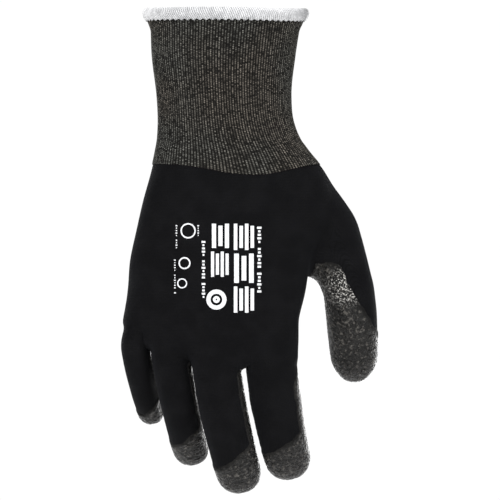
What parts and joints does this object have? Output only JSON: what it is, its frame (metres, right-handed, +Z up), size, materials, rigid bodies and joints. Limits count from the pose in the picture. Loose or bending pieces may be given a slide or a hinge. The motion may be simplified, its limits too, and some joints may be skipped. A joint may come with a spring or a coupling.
{
  "type": "cut resistant glove",
  "caption": "Right-hand knitted work glove with a long rib cuff, an overlocked hem and a dipped film over the palm, thumb and fingertips, bending at the wrist, thumb and finger joints.",
  "frame": {"origin": "centre of the cuff opening, level with the top of the hem", "axes": "+Z up out of the opening with the fingers towards -Z, the back of the hand faces -Y and the palm +Y, the thumb is on the +X side"},
  "size_m": [0.1293, 0.075, 0.2446],
  "materials": {
    "cuff_yarn": "soft matt rib knit of black and grey yarns",
    "hand_yarn": "matt fine plain knit",
    "film": "low sheen, finely wrinkled cured film",
    "hem_thread": "soft white overlock thread",
    "elastane": "smooth stretch yarn"
  },
  "bodies": {
    "cuff": {"cuff_hem": "hem_thread", "cuff_upper_knit": "cuff_yarn", "elastic_yarn": "elastane", "cuff_wrist_knit": "cuff_yarn"},
    "hand": {"cuff_lower_knit": "cuff_yarn", "hand_knit": "hand_yarn", "palm_coating": "film", "index_base_knit": "hand_yarn", "middle_base_knit": "hand_yarn", "ring_base_knit": "hand_yarn", "little_base_knit": "hand_yarn", "thumb_base_knit": "hand_yarn"},
    "index_proximal": {"index_proximal_knit": "hand_yarn", "index_proximal_coating": "film", "index_mid_joint_knit": "hand_yarn"},
    "index_middle": {"index_middle_knit": "hand_yarn", "index_middle_coating": "film", "index_end_joint_knit": "hand_yarn"},
    "index_tip": {"index_tip_knit": "hand_yarn", "index_tip_coating": "film"},
    "middle_proximal": {"middle_proximal_knit": "hand_yarn", "middle_proximal_coating": "film", "middle_mid_joint_knit": "hand_yarn"},
    "middle_middle": {"middle_middle_knit": "hand_yarn", "middle_middle_coating": "film", "middle_end_joint_knit": "hand_yarn"},
    "middle_tip": {"middle_tip_knit": "hand_yarn", "middle_tip_coating": "film"},
    "ring_proximal": {"ring_proximal_knit": "hand_yarn", "ring_proximal_coating": "film", "ring_mid_joint_knit": "hand_yarn"},
    "ring_middle": {"ring_middle_knit": "hand_yarn", "ring_middle_coating": "film", "ring_end_joint_knit": "hand_yarn"},
    "ring_tip": {"ring_tip_knit": "hand_yarn", "ring_tip_coating": "film"},
    "little_proximal": {"little_proximal_knit": "hand_yarn", "little_proximal_coating": "film", "little_mid_joint_knit": "hand_yarn"},
    "little_middle": {"little_middle_knit": "hand_yarn", "little_middle_coating": "film", "little_end_joint_knit": "hand_yarn"},
    "little_tip": {"little_tip_knit": "hand_yarn", "little_tip_coating": "film"},
    "thumb_proximal": {"thumb_proximal_knit": "hand_yarn", "thumb_proximal_coating": "film", "thumb_joint_knit": "hand_yarn"},
    "thumb_tip": {"thumb_tip_knit": "hand_yarn", "thumb_tip_coating": "film"}
  },
  "joints": [
    {"name": "wrist", "type": "hinge", "parent": "cuff", "child": "hand", "pos_m": [-0.001, 0.002, -0.0575], "axis": [1, 0, 0], "range_deg": [-40, 50], "stiffness_Nm_per_rad": 0.12, "deforming": ["cuff_wrist_knit"]},
    {"name": "index_base", "type": "hinge", "parent": "hand", "child": "index_proximal", "pos_m": [0.02124, 0.00349, -0.18223], "axis": [0.9833, 0, 0.1822], "range_deg": [-15, 50], "stiffness_Nm_per_rad": 0.02, "deforming": ["index_base_knit"]},
    {"name": "index_mid", "type": "hinge", "parent": "index_proximal", "child": "index_middle", "pos_m": [0.02339, 0.00734, -0.19695], "axis": [0.9833, 0, 0.1822], "range_deg": [-15, 60], "stiffness_Nm_per_rad": 0.015, "deforming": ["index_mid_joint_knit"]},
    {"name": "index_end", "type": "hinge", "parent": "index_middle", "child": "index_tip", "pos_m": [0.02769, 0.01923, -0.21813], "axis": [0.9833, 0, 0.1822], "range_deg": [-9, 36], "stiffness_Nm_per_rad": 0.01, "deforming": ["index_end_joint_knit"]},
    {"name": "middle_base", "type": "hinge", "parent": "hand", "child": "middle_proximal", "pos_m": [-0.00558, 0.00178, -0.18244], "axis": [0.9833, 0, 0.1822], "range_deg": [-15, 50], "stiffness_Nm_per_rad": 0.02, "deforming": ["middle_base_knit"]},
    {"name": "middle_mid", "type": "hinge", "parent": "middle_proximal", "child": "middle_middle", "pos_m": [-0.00272, 0.00546, -0.20004], "axis": [0.9833, 0, 0.1822], "range_deg": [-15, 60], "stiffness_Nm_per_rad": 0.015, "deforming": ["middle_mid_joint_knit"]},
    {"name": "middle_end", "type": "hinge", "parent": "middle_middle", "child": "middle_tip", "pos_m": [0.00236, 0.01841, -0.22465], "axis": [0.9833, 0, 0.1822], "range_deg": [-9, 36], "stiffness_Nm_per_rad": 0.01, "deforming": ["middle_end_joint_knit"]},
    {"name": "ring_base", "type": "hinge", "parent": "hand", "child": "ring_proximal", "pos_m": [-0.02942, 0.00698, -0.17708], "axis": [0.9833, 0, 0.1822], "range_deg": [-15, 50], "stiffness_Nm_per_rad": 0.02, "deforming": ["ring_base_knit"]},
    {"name": "ring_mid", "type": "hinge", "parent": "ring_proximal", "child": "ring_middle", "pos_m": [-0.02663, 0.01135, -0.19207], "axis": [0.9833, 0, 0.1822], "range_deg": [-15, 60], "stiffness_Nm_per_rad": 0.015, "deforming": ["ring_mid_joint_knit"]},
    {"name": "ring_end", "type": "hinge", "parent": "ring_middle", "child": "ring_tip", "pos_m": [-0.0224, 0.02531, -0.21285], "axis": [0.9833, 0, 0.1822], "range_deg": [-9, 36], "stiffness_Nm_per_rad": 0.01, "deforming": ["ring_end_joint_knit"]},
    {"name": "little_base", "type": "hinge", "parent": "hand", "child": "little_proximal", "pos_m": [-0.04758, 0.01132, -0.17044], "axis": [0.9833, 0, 0.1822], "range_deg": [-15, 50], "stiffness_Nm_per_rad": 0.012, "deforming": ["little_base_knit"]},
    {"name": "little_mid", "type": "hinge", "parent": "little_proximal", "child": "little_middle", "pos_m": [-0.04591, 0.01517, -0.17971], "axis": [0.9833, 0, 0.1822], "range_deg": [-15, 60], "stiffness_Nm_per_rad": 0.009, "deforming": ["little_mid_joint_knit"]},
    {"name": "little_end", "type": "hinge", "parent": "little_middle", "child": "little_tip", "pos_m": [-0.04317, 0.02778, -0.19397], "axis": [0.9833, 0, 0.1822], "range_deg": [-9, 36], "stiffness_Nm_per_rad": 0.006, "deforming": ["little_end_joint_knit"]},
    {"name": "thumb_base", "type": "hinge", "parent": "hand", "child": "thumb_proximal", "pos_m": [0.05991, 0.01738, -0.14562], "axis": [0.6794, 0.6794, 0.2774], "range_deg": [-10, 15], "stiffness_Nm_per_rad": 0.025, "deforming": ["thumb_base_knit"]},
    {"name": "thumb_joint", "type": "hinge", "parent": "thumb_proximal", "child": "thumb_tip", "pos_m": [0.06077, 0.0238, -0.16364], "axis": [0.676, 0.676, 0.2932], "range_deg": [-10, 40], "stiffness_Nm_per_rad": 0.02, "deforming": ["thumb_joint_knit"]}
  ],
  "couplings": [
    {"joint": "index_end", "follows": "index_mid", "ratio": 0.6},
    {"joint": "middle_end", "follows": "middle_mid", "ratio": 0.6},
    {"joint": "ring_end", "follows": "ring_mid", "ratio": 0.6},
    {"joint": "little_end", "follows": "little_mid", "ratio": 0.6}
  ]
}
